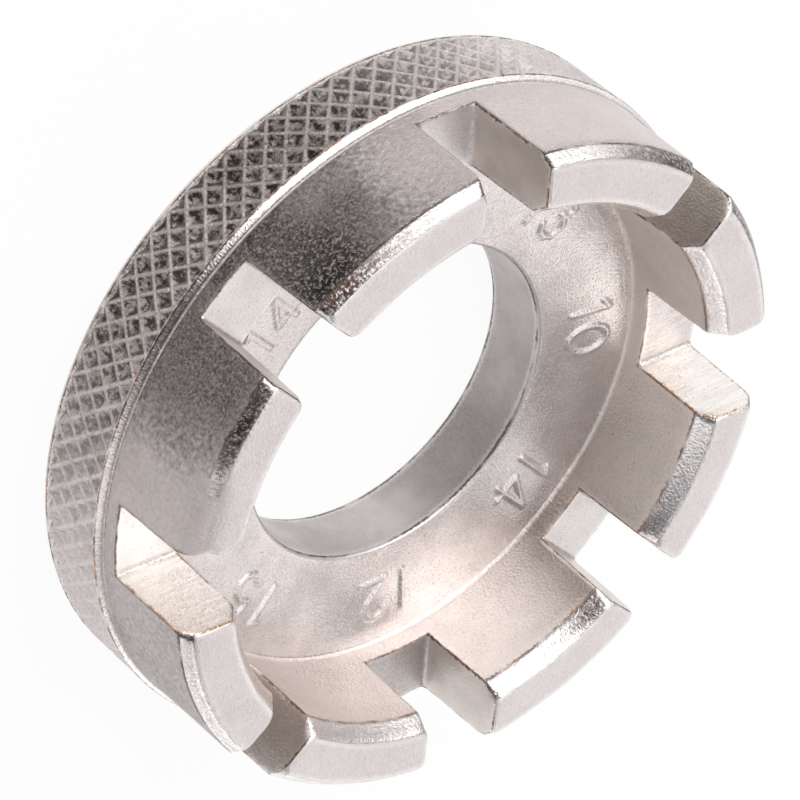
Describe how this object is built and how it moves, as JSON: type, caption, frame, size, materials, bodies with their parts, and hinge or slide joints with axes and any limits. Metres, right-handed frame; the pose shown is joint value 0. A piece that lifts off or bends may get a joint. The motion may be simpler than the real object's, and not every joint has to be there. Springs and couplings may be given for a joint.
{
  "type": "spoke wrench",
  "caption": "Round cast spoke wrench: a knurled ring with a dished, bored plate and a castellated crown whose graded jaws fit spoke nipples of different gauges.",
  "frame": {"origin": "centre of the flat back face, on the bore's axis", "axes": "+Z along the bore towards the crown of jaws; +X towards jaw 1, the widest; the other jaws follow clockwise seen from +Z"},
  "size_m": [0.034, 0.034, 0.0102],
  "materials": {
    "nickel_plate": "satin nickel plate over a grained casting, worn brighter on the jaws' edges"
  },
  "bodies": {
    "root": {"wrench_body": "nickel_plate"}
  },
  "joints": []
}
